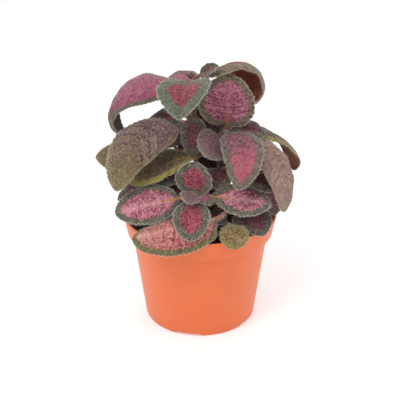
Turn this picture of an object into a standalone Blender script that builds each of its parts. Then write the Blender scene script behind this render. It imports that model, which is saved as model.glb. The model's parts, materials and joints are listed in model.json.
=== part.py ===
# A flame violet growing in a nursery pot.
# The frame is +Z up with the origin at the centre of the pot's base; the front of the plant is along -Y.
# Lengths in this file are millimetres and angles are degrees; MM scales the finished meshes to metres.
from dataclasses import dataclass
from math import cos, pi, radians, sin

import bpy
import numpy as np

MM = 0.001
GAP = 0.3

# The pot: a tapered cup with a wide rim band, notches under its edge and drain holes in them
POT_HEIGHT = 88.0
POT_WALL = 1.3
POT_FLOOR = 3.2
POT_SEGMENTS = 40
BASE_RADIUS = 43.9
BASE_ROUNDING = 2.4
BODY_TOP_RADIUS = 53.3
RIM_BAND_HEIGHT = 15.3
RIM_FOOT_RADIUS = 57.0
RIM_RADIUS = 60.0
RIM_LIP = 0.7
NOTCH_COUNT = 5
NOTCH_FIRST = 258.0
NOTCH_WIDTH = 20.0
NOTCH_HEIGHT = 2.3
NOTCH_INNER_RADIUS = 29.0
DRAIN_RADIUS = 3.5
DRAIN_DISTANCE = 35.0
HOLE_SIDES = 12
CUT_EXCESS = 2.0

# The soil: it fills the cup to a little under the rim band's middle, with a crumbly top
SOIL_TOP = 77.6
SOIL_BUMP = 0.9
SOIL_SIDE_GAP = 0.4
SOIL_EDGE_RADII = ((0.4, 1.2), (3.0, 0.0))
SOIL_TOP_RADII = (40.0, 27.0, 13.0)
STEM_FOOT = 64.0
STEM_HOLE_RADIUS = 3.4

# The stems: round, a little thicker at each leaf joint and thinner towards the tip
STEM_SIDES = 8
STEM_STEP = 6.5
STEM_RING_SPACE = 1.5
STEM_TIP_LENGTH = 1.6
STEM_TIP_RADIUS = 0.9
JOINT_RADIUS = 2.8
JOINT_TAPER = 0.7
JOINT_SWELL = 0.5
JOINT_HALF_LENGTH = 2.2

# The leaves: a thin blade on a round stalk, with a thicker middle rib and a toothed edge
BLADE_THICKNESS = 0.9
SMALL_BLADE_THICKNESS = 0.75
SMALL_BLADE_WIDTH = 20.0
EDGE_THINNING = 0.2
RIB_DEPTH = 0.7
TIP_HALF_WIDTH = 0.5
TIP_SHARE = 0.995
STALK_RADIUS = 1.25
STALK_FLARE = 1.15
STALK_TURN_EASE = 0.4
SLIM_STALK = 0.55
SLIM_BLADE_WIDTH = 30.0
TOOTH_DEPTH = 0.08
SPINE_STEPS = 64
BLADE_COLUMNS = (-1, -0.55, 0, 0.55, 1)
STALK_ANGLES = (162, 126, 90, 54, 18)
# Rings of points along a blade and a stalk that are longer than each length
BLADE_RINGS = ((45, 9), (30, 8), (18, 6), (0, 5))
STALK_RINGS = ((20, 3), (8, 2), (0, 1))

# Each stem runs through these points, from the soil's top to its tip
STEMS = {
    "main": [(0, 8, 76), (-3, 6, 120), (-4, 1, 160), (-5, -2, 191)],
    "right": [(12, 2, 76), (15, 1, 115), (16, -3, 138), (17, -8, 157)],
    "front": [(-3, -16, 76), (-5, -24, 96), (-5, -31, 113)],
    "left": [(-14, 4, 76), (-16, 3, 105), (-14, 0, 132)],
    "back": [(6, 24, 76), (9, 30, 105), (8, 36, 136)],
}


@dataclass
class Leaf:
    """One leaf: where it leaves its stem, the run of its stalk, and the size and curl of its blade."""
    stem: str
    at: float
    yaw: float
    stalk: tuple
    blade: tuple
    pitch: tuple
    tone: str = "bronze"
    roll: tuple = (0, 0)
    sway: float = 0
    turn: float = 0
    bend: float = 1
    fold: float = 12
    cup: tuple = (-25, -25)
    shape: tuple = (0.9, 0.62)
    uneven: float = 0


# at: share of the stem's length. yaw: heading, 0 along +X and 90 along +Y. stalk: length and rise.
# blade: length and width. pitch, roll: at the blade's base and tip. sway, turn: change of heading along
# the blade and the stalk. bend: how late the pitch changes. fold: V fold at the rib. cup: curl of the
# left and right halves, negative downwards. shape: where the blade is widest and how blunt its ends are.
# uneven: how much wider the left half is than the right.
LEAVES = {
    "leaf_crown_left": Leaf("main", .955, 184, (11, 5), (79, 39), (-3, -170), "pink", roll=(-30, -20),
                            sway=-40, bend=2.8, fold=4, cup=(-80, -28), shape=(1, .4), uneven=-.4),
    "leaf_crown_front": Leaf("main", .985, 256, (6, 40), (38, 41), (0, -65), "pink", roll=(6, 10),
                             fold=24, cup=(-20, -20), shape=(.75, .7)),
    "leaf_crown_back": Leaf("main", .965, 112, (3, 15), (28, 24), (12, 0), "pink", roll=(0, -10)),
    "leaf_crown_tip": Leaf("main", 1, 342, (4, 52), (16, 19), (35, 20), "pink", roll=(45, 20), fold=15,
                           cup=(0, 0), uneven=-.35),
    "leaf_crown_right": Leaf("main", .965, 25, (11, 28), (65, 42), (34, -150), "pink", roll=(-24, -34),
                             sway=-36, bend=1.5, cup=(-60, -70), shape=(.9, .45), uneven=-.12),
    "leaf_left_large": Leaf("main", .65, 212, (12, 22), (73, 40), (12, -72), roll=(-34, -8), sway=20,
                            cup=(-75, -50), shape=(.85, .55), uneven=-.3),
    "leaf_middle_front": Leaf("main", .81, 255, (3, -20), (30, 21.5), (-62, -88), roll=(8, 5),
                              uneven=.25),
    "leaf_middle_upper": Leaf("main", .748, 20, (3, 10), (31, 33), (5, -20), roll=(60, 50),
                              shape=(.5, .4)),
    "leaf_middle_back": Leaf("main", .785, 156, (6, -8), (30, 23), (-16, -12), roll=(-36, -30),
                             shape=(.5, .4), uneven=-.2),
    "leaf_right_upright": Leaf("right", 1, 76, (2.5, 0), (39, 45), (90, 82), "pink", turn=60, fold=14,
                               cup=(10, 10), shape=(.88, .5)),
    "leaf_right_front": Leaf("right", .97, 290, (5, 14), (53, 31), (8, -86), "pink", roll=(2, 0),
                             sway=-24, fold=8, cup=(-20, -60), shape=(.75, .5), uneven=.35),
    "leaf_right_inner": Leaf("right", .945, 246.5, (3, 12), (24, 27.5), (-14, -36), roll=(-45, -30),
                             fold=6, cup=(-20, -20), shape=(.8, .5)),
    "leaf_right_upper": Leaf("right", .92, 355, (5, 45), (27, 22), (18, -36), roll=(30, 15)),
    "leaf_right_hanging": Leaf("right", .68, 332, (20, 52), (73, 30), (28, -105), roll=(15, 5), sway=-6,
                               bend=.65, shape=(.9, .5), uneven=-.3),
    "leaf_right_far": Leaf("right", .76, 24, (20, 54), (64, 42), (11, -85), "olive", bend=.85,
                           cup=(-25, -35), shape=(.9, .5), uneven=-.35),
    "leaf_right_shaded": Leaf("right", .6, 316, (14, 28), (36, 32), (0, -40)),
    "leaf_middle_right": Leaf("right", .54, 266, (4, 40), (27, 27), (20, -50)),
    "leaf_right_low": Leaf("right", .5, 345, (16, 16), (43, 27), (-4, -92), roll=(15, 20), sway=-25,
                           shape=(1, .5)),
    "leaf_front_left": Leaf("front", .95, 194, (8, 8), (48, 32), (-3, -14), "pink", roll=(-42, -38),
                            fold=5, cup=(-6, -10), shape=(.95, .5)),
    "leaf_front_right": Leaf("front", .95, 350, (11, 18), (44, 29), (0, -10), "pink", roll=(38, 30),
                             fold=8, cup=(-10, -10), shape=(1.2, .6)),
    "leaf_front_low": Leaf("front", .98, 267, (3, 10), (35, 27), (-18, -48), "pink", fold=6,
                           cup=(-10, -10), shape=(.95, .48)),
    "leaf_front_up": Leaf("front", .95, 70, (2, 0), (26, 30), (86, 92), "pink", fold=8, cup=(15, 15),
                          shape=(.95, .45)),
    "leaf_front_young": Leaf("front", 1, 262, (3, 44), (13, 15), (15, -50), roll=(-20, -20)),
    "leaf_front_small": Leaf("front", 1, 318, (3, 24), (13, 12), (4, -36), roll=(10, 5)),
    "leaf_rim_left": Leaf("right", .14, 203, (52, 32), (63, 39), (-2, -18), "pink", roll=(-22, -38),
                          sway=-25, turn=-91, fold=0, cup=(-50, -64), shape=(.85, .42), uneven=.05),
    "leaf_rim_olive": Leaf("right", .07, 282, (46, 14), (23, 22), (20, -95), "olive", shape=(1.2, .5)),
    "leaf_rim_right": Leaf("right", .24, 306, (25, 10), (32, 31), (2, -45), roll=(10, 10)),
    "leaf_rim_small": Leaf("front", .5, 322, (8, 28), (18, 24), (8, -30)),
    "leaf_left_olive": Leaf("right", .73, 198, (14, 8), (57, 33), (0, -36), "olive", roll=(-10, -25),
                            shape=(1.25, .6), uneven=-.2),
    "leaf_left_far": Leaf("left", .85, 174, (10, 25), (55, 37), (16, -14), roll=(-42, -35), uneven=.1),
    "leaf_left_low": Leaf("left", .55, 203, (12, 20), (38, 32), (14, -40)),
    "leaf_middle_shaded": Leaf("main", .36, 285, (6, 10), (30, 26), (-5, -40)),
    "leaf_middle_left": Leaf("main", .38, 226, (12, 14), (25, 23), (4, -32)),
    "leaf_middle_low": Leaf("left", .64, 262, (4, 5), (22, 22), (2, -30), uneven=.2),
    "leaf_crown_back_right": Leaf("main", .9, 52, (10, 25), (46, 34), (10, -70), "pink"),
    "leaf_back_upper": Leaf("main", .84, 91, (7, 24), (36, 32), (-12, -80)),
    "leaf_back_left_middle": Leaf("left", .92, 114, (12, 40), (42, 32), (30, -50), roll=(-25, -25)),
    "leaf_back_top": Leaf("main", .55, 94, (12, 33), (58, 40), (19, -60)),
    "leaf_back_right_top": Leaf("back", 1, 40, (8, 35), (44, 34), (25, -45), "pink"),
    "leaf_back_inner": Leaf("back", .5, 250, (3, 60), (34, 36), (78, 62), shape=(.88, .5)),
    "leaf_back_right": Leaf("back", .75, 14, (12, 30), (52, 36), (15, -60)),
    "leaf_back_left": Leaf("back", .75, 150, (14, 30), (52, 38), (15, -60)),
    "leaf_back_low": Leaf("back", .4, 96, (13, 20), (50, 40), (5, -75)),
    "leaf_back_left_low": Leaf("left", .53, 148, (12, 25), (46, 38), (16, -55), roll=(-15, -10)),
    "leaf_back_right_low": Leaf("back", .35, 38, (16, 20), (50, 38), (5, -65)),
}

# The tiny leaves at a stem's tip: heading and length, joined to the stem
TIP_LEAVES = {
    "main": [(200, 8), (110, 7)],
    "right": [(235, 6)],
    "left": [(100, 9)],
    "back": [(270, 8), (120, 7)],
}
TIP_LEAF_PITCH = (62, 35)
TIP_LEAF_WIDTH = 0.7
TIP_LEAF_STEP = 1.1
TIP_LEAF_SINK = 0.4
TIP_LEAF_STALK = 2.5
TIP_LEAF_FOLD = 25.0
TIP_LEAF_RINGS = 3

COLOURS = {
    "terracotta": (0.76, 0.17, 0.062),
    "soil": (0.02, 0.011, 0.007),
    "stem": (0.19, 0.09, 0.05),
    "pink": (0.27, 0.09, 0.11),
    "bronze": (0.15, 0.08, 0.07),
    "olive": (0.13, 0.09, 0.035),
}
ROUGHNESS = {"terracotta": 0.4}


def remove_everything():
    for thing in list(bpy.data.objects):
        bpy.data.objects.remove(thing, do_unlink=True)


def make_material(name):
    material = bpy.data.materials.new(name)
    material.use_nodes = True
    shader = material.node_tree.nodes["Principled BSDF"]
    shader.inputs["Base Color"].default_value = (*COLOURS[name], 1)
    shader.inputs["Roughness"].default_value = ROUGHNESS.get(name, 0.85)
    shader.inputs["Metallic"].default_value = 0
    return material


def make_object(name, points, faces, material, sharp_angle=40):
    mesh = bpy.data.meshes.new(name)
    scaled = [tuple(float(c) * MM for c in point) for point in points]
    mesh.from_pydata(scaled, [], [tuple(int(i) for i in face) for face in faces])
    mesh.materials.append(material)
    mesh.shade_smooth()
    mesh.set_sharp_from_angle(angle=radians(sharp_angle))
    made = bpy.data.objects.new(name, mesh)
    bpy.context.scene.collection.objects.link(made)
    return made


def apply_modifiers(made):
    """Keep the evaluated shape as the object's own mesh."""
    graph = bpy.context.evaluated_depsgraph_get()
    mesh = bpy.data.meshes.new_from_object(made.evaluated_get(graph))
    made.modifiers.clear()
    made.data = mesh


def boolean(made, others, operation):
    """Join or cut with a collection of objects, which are then removed."""
    group = bpy.data.collections.new(made.name + "_others")
    bpy.context.scene.collection.children.link(group)
    for other in others:
        bpy.context.scene.collection.objects.unlink(other)
        group.objects.link(other)
    modifier = made.modifiers.new("boolean", "BOOLEAN")
    modifier.operation = operation
    modifier.operand_type = "COLLECTION"
    modifier.collection = group
    modifier.solver = "EXACT"
    apply_modifiers(made)
    for other in others:
        bpy.data.objects.remove(other, do_unlink=True)
    bpy.data.collections.remove(group)


def ring_faces(rings, around):
    """Quads between rings of equally many points; each ring follows the one before it."""
    faces = []
    for k in range(rings - 1):
        for i in range(around):
            j = (i + 1) % around
            low, high = k * around, (k + 1) * around
            faces.append((low + i, low + j, high + j, high + i))
    return faces


def turned(profile, segments):
    """Solid of revolution: rings for the profile's points between its two ends, which lie on the axis."""
    angles = [2 * pi * k / segments for k in range(segments)]
    points = [(r * cos(a), r * sin(a), z) for r, z in profile[1:-1] for a in angles]
    rings = len(profile) - 2
    faces = ring_faces(rings, segments)
    first, last = len(points), len(points) + 1
    points += [(0, 0, profile[0][1]), (0, 0, profile[-1][1])]
    top = (rings - 1) * segments
    for i in range(segments):
        j = (i + 1) % segments
        faces.append((first, j, i))
        faces.append((last, top + i, top + j))
    return points, faces


def rod(name, centre, radius, low, high, material):
    """Upright cylinder between two heights, for cutting a hole."""
    points, faces = turned([(0, low), (radius, low), (radius, high), (0, high)], HOLE_SIDES)
    return make_object(name, np.array(points) + np.array([centre[0], centre[1], 0]), faces, material)


def body_radius(z):
    """Outer radius of the pot's tapered body at a height."""
    share = z / (POT_HEIGHT - RIM_BAND_HEIGHT)
    return BASE_RADIUS + (BODY_TOP_RADIUS - BASE_RADIUS) * share


def rim_radius(z):
    """Outer radius of the rim band at a height."""
    share = (z - POT_HEIGHT + RIM_BAND_HEIGHT) / RIM_BAND_HEIGHT
    return RIM_FOOT_RADIUS + (RIM_RADIUS - RIM_FOOT_RADIUS) * share


def pot_profile():
    """Outline of the pot's wall, from the middle of the underside round to the middle of the floor."""
    shoulder = POT_HEIGHT - RIM_BAND_HEIGHT
    edge_middle = BASE_ROUNDING * (1 - cos(radians(45)))
    rim_top = POT_HEIGHT - RIM_LIP
    return [
        (0, 0),
        (BASE_RADIUS - BASE_ROUNDING, 0),
        (body_radius(edge_middle) - edge_middle, edge_middle),
        (body_radius(BASE_ROUNDING), BASE_ROUNDING),
        (BODY_TOP_RADIUS, shoulder),
        (RIM_FOOT_RADIUS - RIM_LIP, shoulder),
        (RIM_FOOT_RADIUS, shoulder + RIM_LIP),
        (rim_radius(rim_top), rim_top),
        (RIM_RADIUS - RIM_LIP, POT_HEIGHT),
        (RIM_RADIUS - POT_WALL, POT_HEIGHT),
        (rim_radius(shoulder + POT_WALL) - POT_WALL, shoulder + POT_WALL),
        (BODY_TOP_RADIUS - POT_WALL, shoulder),
        (body_radius(POT_FLOOR) - POT_WALL, POT_FLOOR),
        (0, POT_FLOOR),
    ]


def notch_cutters(material):
    """Boxes under the pot's edge, each with a drain hole through the floor."""
    cutters = []
    inner, outer = NOTCH_INNER_RADIUS, BODY_TOP_RADIUS
    for k in range(NOTCH_COUNT):
        heading = radians(NOTCH_FIRST + 360 / NOTCH_COUNT * k)
        out = np.array([cos(heading), sin(heading), 0])
        side = np.array([-sin(heading), cos(heading), 0])
        corners = []
        for z in (-CUT_EXCESS, NOTCH_HEIGHT):
            for r, s in ((inner, -1), (outer, -1), (outer, 1), (inner, 1)):
                corners.append(out * r + side * s * NOTCH_WIDTH / 2 + np.array([0, 0, z]))
        faces = [(3, 2, 1, 0), (4, 5, 6, 7)] + ring_faces(2, 4)
        cutters.append(make_object("notch", corners, faces, material))
        ends = -CUT_EXCESS, POT_FLOOR + CUT_EXCESS
        cutters.append(rod("drain", out * DRAIN_DISTANCE, DRAIN_RADIUS, *ends, material))
    return cutters


def make_pot(material):
    points, faces = turned(pot_profile(), POT_SEGMENTS)
    pot = make_object("pot", points, faces, material)
    boolean(pot, notch_cutters(material), "DIFFERENCE")
    return pot


def soil_height(x, y):
    """Height of the soil's top: shallow lumps of three sizes."""
    lumps = sin(x * .31 + 1.3) * cos(y * .27) + .6 * sin(x * .73 + y * .51) + .4 * cos(y * 1.1 - x * .4)
    return SOIL_TOP + SOIL_BUMP * lumps / 2


def make_soil(material):
    """Fill of the cup with a gap all round, and a round hole for each stem."""
    shoulder = POT_HEIGHT - RIM_BAND_HEIGHT
    floor = POT_FLOOR + GAP
    inside = POT_WALL + SOIL_SIDE_GAP
    edge = rim_radius(shoulder + POT_WALL) - inside
    profile = [
        (0, floor),
        (body_radius(floor) - inside, floor),
        (BODY_TOP_RADIUS - inside, shoulder),
        (edge - SOIL_EDGE_RADII[0][0], shoulder + POT_WALL + GAP),
    ]
    profile += [(edge - inset, SOIL_TOP - drop) for inset, drop in SOIL_EDGE_RADII]
    profile += [(radius, SOIL_TOP) for radius in (*SOIL_TOP_RADII, 0)]
    points, faces = turned(profile, POT_SEGMENTS)
    lumpy = [(x, y, soil_height(x, y) if z == SOIL_TOP else z) for x, y, z in points]
    soil = make_object("soil", lumpy, faces, material)
    holes = [rod("hole", path[0], STEM_HOLE_RADIUS, STEM_FOOT - GAP, POT_HEIGHT, material)
             for path in STEMS.values()]
    boolean(soil, holes, "DIFFERENCE")
    return soil


def smooth_path(corners, steps=12):
    """Smooth curve through the corners."""
    ends = [np.array(corner, float) for corner in corners]
    ends = [2 * ends[0] - ends[1]] + ends + [2 * ends[-1] - ends[-2]]
    curve = []
    for a, b, c, d in zip(ends, ends[1:], ends[2:], ends[3:]):
        for k in range(steps):
            t = k / steps
            straight = 2 * b + (c - a) * t
            bent = (2 * a - 5 * b + 4 * c - d) * t ** 2 + (3 * b - a - 3 * c + d) * t ** 3
            curve.append((straight + bent) / 2)
    curve.append(ends[-2])
    return np.array(curve)


def lengths_along(path):
    steps = np.linalg.norm(np.diff(path, axis=0), axis=1)
    return np.concatenate([[0], np.cumsum(steps)])


def at_length(path, lengths, s):
    return np.array([np.interp(s, lengths, path[:, k]) for k in range(3)])


def on_stem(path, share):
    """Point on a stem and the stem's direction there."""
    lengths = lengths_along(path)
    s = share * lengths[-1]
    direction = at_length(path, lengths, s + 2) - at_length(path, lengths, s - 2)
    return at_length(path, lengths, s), direction / np.linalg.norm(direction)


def joint_radius(share):
    return JOINT_RADIUS - JOINT_TAPER * share


def directions(yaw, pitch, roll):
    """Forward, left and up directions of a leaf for its heading, rise and roll."""
    y, p, r = radians(yaw), radians(pitch), radians(roll)
    forward = np.array([cos(p) * cos(y), cos(p) * sin(y), sin(p)])
    left = np.array([-sin(y), cos(y), 0])
    up = np.array([-sin(p) * cos(y), -sin(p) * sin(y), cos(p)])
    return forward, cos(r) * left + sin(r) * up, -sin(r) * left + cos(r) * up


class LeafShape:
    """The centre line of a leaf, and points on its stalk and blade."""

    def __init__(self, leaf, path):
        self.leaf = leaf
        self.root, axis = on_stem(path, leaf.at)
        self.reach = joint_radius(leaf.at) + GAP
        forward = self.stalk_directions(0)[0]
        outward = forward - axis * (forward @ axis)
        self.outward = outward / np.linalg.norm(outward)
        start = self.root + forward * self.reach / (forward @ self.outward)
        self.stalk_line = self.run(start, self.stalk_directions, leaf.stalk[0])
        self.blade_line = self.run(self.stalk_line[-1], self.blade_directions, leaf.blade[0])

    def run(self, start, heading, length):
        line = [start]
        for k in range(SPINE_STEPS):
            line.append(line[-1] + heading((k + .5) / SPINE_STEPS)[0] * length / SPINE_STEPS)
        return np.array(line)

    def stalk_directions(self, q):
        leaf = self.leaf
        yaw = leaf.yaw - leaf.turn * (1 - q) ** STALK_TURN_EASE
        return directions(yaw, leaf.stalk[1] + (leaf.pitch[0] - leaf.stalk[1]) * q, leaf.roll[0] * q)

    def blade_directions(self, t):
        leaf = self.leaf
        pitch = leaf.pitch[0] + (leaf.pitch[1] - leaf.pitch[0]) * t ** leaf.bend
        return directions(leaf.yaw + leaf.sway * t, pitch, leaf.roll[0] + (leaf.roll[1] - leaf.roll[0]) * t)

    def on_line(self, line, share):
        return at_length(line, np.linspace(0, 1, SPINE_STEPS + 1), share)

    def stalk_ring(self, q, radius):
        """Ten points round the stalk; the first ring is cut to follow the stem's side."""
        centre = self.on_line(self.stalk_line, q)
        forward, left, up = self.stalk_directions(q)
        rings = []
        for side in (1, -1):
            ring = [centre + radius * (cos(radians(a)) * left + side * sin(radians(a)) * up)
                    for a in STALK_ANGLES]
            if q == 0:
                slant = forward @ self.outward
                ring = [p + forward * (self.reach - (p - self.root) @ self.outward) / slant for p in ring]
            rings.append(ring)
        return rings

    def half_width(self, t):
        widest, blunt = self.leaf.shape
        return self.leaf.blade[1] / 2 * sin(pi * min(t, TIP_SHARE) ** widest) ** blunt

    def blade_point(self, t, s, side, width):
        """Point of the blade: t from base to tip, s from -1 at the right edge to 1 at the left."""
        leaf = self.leaf
        forward, left, up = self.blade_directions(t)
        curl = leaf.cup[0] if s > 0 else leaf.cup[1]
        fold, curve, out = radians(leaf.fold), radians(curl), abs(s)
        if curve:
            x = (sin(fold + curve * out) - sin(fold)) / curve
            z = (cos(fold) - cos(fold + curve * out)) / curve
        else:
            x, z = out * cos(fold), out * sin(fold)
        sign = 1 if s >= 0 else -1
        width = width * (1 + leaf.uneven * sign)
        tilt = sign * (fold + curve * out)
        normal = cos(tilt) * up - sin(tilt) * left
        half = blade_thickness(leaf) * (1 - EDGE_THINNING * out) / 2
        if s == 0 and side < 0:
            half += RIB_DEPTH * (1 - t)
        middle = self.on_line(self.blade_line, t)
        return middle + left * sign * width * x + up * width * z + normal * side * half


def blade_thickness(leaf):
    return BLADE_THICKNESS if leaf.blade[1] > SMALL_BLADE_WIDTH else SMALL_BLADE_THICKNESS


def blade_stations(count):
    """Shares of the blade's length, closer together towards both ends."""
    shares = np.arange(1, count + 1) / count
    return .4 * shares + .3 * (1 - np.cos(pi * shares))


def ring_count(length, table):
    """Number of rings for a length, from the first line of a table whose length it exceeds."""
    return next(count for longer_than, count in table if length > longer_than)


def leaf_cell(low, high, valley, column):
    """Triangles of one cell on the upper face; both faces are split alike."""
    a, a2, b, b2 = low[column], low[column + 1], high[column], high[column + 1]
    if valley is not None and column == 0:
        return [(valley, b, b2), (valley, b2, a2), (valley, a2, a)]
    if valley is not None:
        return [(valley, a2, a), (valley, a, b), (valley, b, b2)]
    if column < 2:
        return [(a, b, a2), (b, b2, a2)]
    return [(a, b, b2), (a, b2, a2)]


def leaf_mesh(shape, blade_rings, stalk_rings):
    """Closed skin of a leaf from rings of five upper and five lower points, with teeth between rings."""
    leaf = shape.leaf
    points, faces, upper, lower = [], [], [], []

    def add(point):
        points.append(point)
        return len(points) - 1

    def add_ring(over, under):
        upper.append([add(point) for point in over])
        lower.append([add(point) for point in under])

    slimness = max(0, 1 - leaf.blade[1] / SLIM_BLADE_WIDTH)
    radius = STALK_RADIUS * (1 - (1 - SLIM_STALK) * slimness)
    for k in range(stalk_rings + 1):
        add_ring(*shape.stalk_ring(k / stalk_rings, radius * (STALK_FLARE if k == 0 else 1)))
    stations = blade_stations(blade_rings)
    for t in stations:
        width = max(shape.half_width(t), TIP_HALF_WIDTH)
        add_ring([shape.blade_point(t, s, 1, width) for s in BLADE_COLUMNS],
                 [shape.blade_point(t, s, -1, width) for s in BLADE_COLUMNS])
    for k in range(len(upper) - 1):
        interval = k - stalk_rings
        over, under = {}, {}
        if interval >= 1:
            t = (stations[interval - 1] + stations[interval]) / 2
            width = shape.half_width(t) * (1 - TOOTH_DEPTH)
            for s, column in ((-1, 0), (1, 3)):
                over[column] = add(shape.blade_point(t, s, 1, width))
                under[column] = add(shape.blade_point(t, s, -1, width))
        for column in range(4):
            faces += leaf_cell(upper[k], upper[k + 1], over.get(column), column)
            below = leaf_cell(lower[k], lower[k + 1], under.get(column), column)
            faces += [face[::-1] for face in below]
        for edge, column, flip in ((0, 0, False), (4, 3, True)):
            corners = [upper[k][edge], lower[k][edge], lower[k + 1][edge], upper[k + 1][edge]]
            if over:
                corners = [(corners[0], corners[1], under[column], over[column]),
                           (over[column], under[column], corners[2], corners[3])]
            else:
                corners = [tuple(corners)]
            for a, b, c, d in corners:
                pair = [(a, b, c), (a, c, d)]
                faces += [face[::-1] for face in pair] if flip else pair
    for column in range(4):
        a, b, c, d = upper[0][column], upper[0][column + 1], lower[0][column + 1], lower[0][column]
        faces += [(a, b, c), (a, c, d)]
        a, b, c, d = upper[-1][column], lower[-1][column], lower[-1][column + 1], upper[-1][column + 1]
        faces += [(a, b, c), (a, c, d)]
    return points, faces


def make_leaf(name, leaf, paths, materials):
    shape = LeafShape(leaf, paths[leaf.stem])
    blade_rings = ring_count(leaf.blade[0], BLADE_RINGS)
    points, faces = leaf_mesh(shape, blade_rings, ring_count(leaf.stalk[0], STALK_RINGS))
    return make_object(name, points, faces, materials[leaf.tone])


def stem_stations(path, shares):
    """Lengths along a stem where it gets a ring, with its radius: even steps, and a swelling per joint."""
    total = lengths_along(path)[-1]
    joints = sorted(share * total for share in shares)
    spread = []
    for s in joints:
        apart = not spread or s - spread[-1] > 2 * JOINT_HALF_LENGTH + STEM_RING_SPACE / 3
        if apart and s < total - JOINT_HALF_LENGTH:
            spread.append(s)
    rings = {}
    for s in np.arange(0, total - 2 * STEM_RING_SPACE, STEM_STEP):
        if all(abs(s - joint) > JOINT_HALF_LENGTH + STEM_RING_SPACE for joint in spread):
            rings[float(s)] = joint_radius(s / total) - JOINT_SWELL
    for joint in spread:
        for shift, swell in ((-JOINT_HALF_LENGTH, 0), (0, JOINT_SWELL), (JOINT_HALF_LENGTH, 0)):
            s = min(max(joint + shift, 0), total)
            rings[float(s)] = joint_radius(s / total) - JOINT_SWELL + swell
    rings[float(total)] = joint_radius(1) - JOINT_SWELL
    return sorted(rings.items())


def make_stem(name, path, tips, material):
    """A stem from its foot in the soil to its tip, joined with the tiny leaves there."""
    shares = [leaf.at for leaf in LEAVES.values() if leaf.stem == name]
    lengths = lengths_along(path)
    centres = [(path[0] - np.array([0, 0, path[0][2] - STEM_FOOT]), joint_radius(0) - JOINT_SWELL)]
    centres += [(at_length(path, lengths, s), radius) for s, radius in stem_stations(path, shares)]
    top, axis = on_stem(path, 1)
    centres.append((top + axis * STEM_TIP_LENGTH, STEM_TIP_RADIUS))
    points = []
    for k, (centre, radius) in enumerate(centres):
        before = centres[max(k - 1, 0)][0]
        after = centres[min(k + 1, len(centres) - 1)][0]
        along = (after - before) / np.linalg.norm(after - before)
        left = np.cross([0, 1, 0], along)
        left /= np.linalg.norm(left)
        ahead = np.cross(along, left)
        for i in range(STEM_SIDES):
            angle = 2 * pi * i / STEM_SIDES
            points.append(centre + radius * (cos(angle) * left + sin(angle) * ahead))
    faces = ring_faces(len(centres), STEM_SIDES)
    last = len(points) - STEM_SIDES
    faces.append(tuple(range(STEM_SIDES))[::-1])
    faces.append(tuple(range(last, last + STEM_SIDES)))
    stem = make_object("stem_" + name, points, faces, material)
    others = []
    for k, (yaw, length) in enumerate(tips):
        leaf = Leaf(name, 1, yaw, (TIP_LEAF_STALK, TIP_LEAF_PITCH[0]), (length, length * TIP_LEAF_WIDTH),
                    TIP_LEAF_PITCH, fold=TIP_LEAF_FOLD)
        shape = LeafShape(leaf, path)
        inward = shape.stalk_line[0] - top + axis * (TIP_LEAF_SINK + TIP_LEAF_STEP * k)
        shape.root = shape.root - inward
        shape.stalk_line = shape.stalk_line - inward
        shape.blade_line = shape.blade_line - inward
        tip_points, tip_faces = leaf_mesh(shape, TIP_LEAF_RINGS, 1)
        others.append(make_object("tip", tip_points, tip_faces, material))
    if others:
        boolean(stem, others, "UNION")
    return stem


def main():
    remove_everything()
    materials = {name: make_material(name) for name in COLOURS}
    paths = {name: smooth_path(corners) for name, corners in STEMS.items()}
    make_pot(materials["terracotta"])
    make_soil(materials["soil"])
    for name, path in paths.items():
        make_stem(name, path, TIP_LEAVES.get(name, []), materials["stem"])
    for name, leaf in LEAVES.items():
        make_leaf(name, leaf, paths, materials)


main()
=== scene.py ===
# A flame violet in its nursery pot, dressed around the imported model.
# Shapes are worked out in millimetres and set to metres as each mesh is made. The sizes given to the
# trees, the bumps, the plastic's finish and the stage are in metres.
import json
from math import cos, pi, radians, sin, tau

import bpy
import numpy as np
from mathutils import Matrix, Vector


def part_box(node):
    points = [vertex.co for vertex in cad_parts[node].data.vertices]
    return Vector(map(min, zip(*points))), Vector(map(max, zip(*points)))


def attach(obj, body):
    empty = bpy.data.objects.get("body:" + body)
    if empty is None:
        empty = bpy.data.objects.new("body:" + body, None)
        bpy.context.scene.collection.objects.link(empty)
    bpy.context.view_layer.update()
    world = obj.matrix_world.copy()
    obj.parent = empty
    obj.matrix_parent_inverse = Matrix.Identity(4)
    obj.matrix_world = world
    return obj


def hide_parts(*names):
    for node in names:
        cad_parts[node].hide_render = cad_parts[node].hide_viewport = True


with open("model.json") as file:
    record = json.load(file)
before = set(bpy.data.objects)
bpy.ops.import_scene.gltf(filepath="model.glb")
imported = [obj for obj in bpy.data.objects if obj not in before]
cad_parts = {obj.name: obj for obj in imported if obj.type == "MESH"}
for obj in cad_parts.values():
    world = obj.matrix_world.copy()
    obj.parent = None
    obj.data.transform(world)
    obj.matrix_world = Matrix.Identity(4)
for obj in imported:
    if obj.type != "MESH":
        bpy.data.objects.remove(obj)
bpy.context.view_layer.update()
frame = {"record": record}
mm = 0.001


def paint(red, green, blue):  # a colour as screens name it, made linear
    shares = [part / 255 for part in (red, green, blue)]
    return (*(s / 12.92 if s <= 0.04045 else ((s + 0.055) / 1.055) ** 2.4 for s in shares), 1.0)


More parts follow.
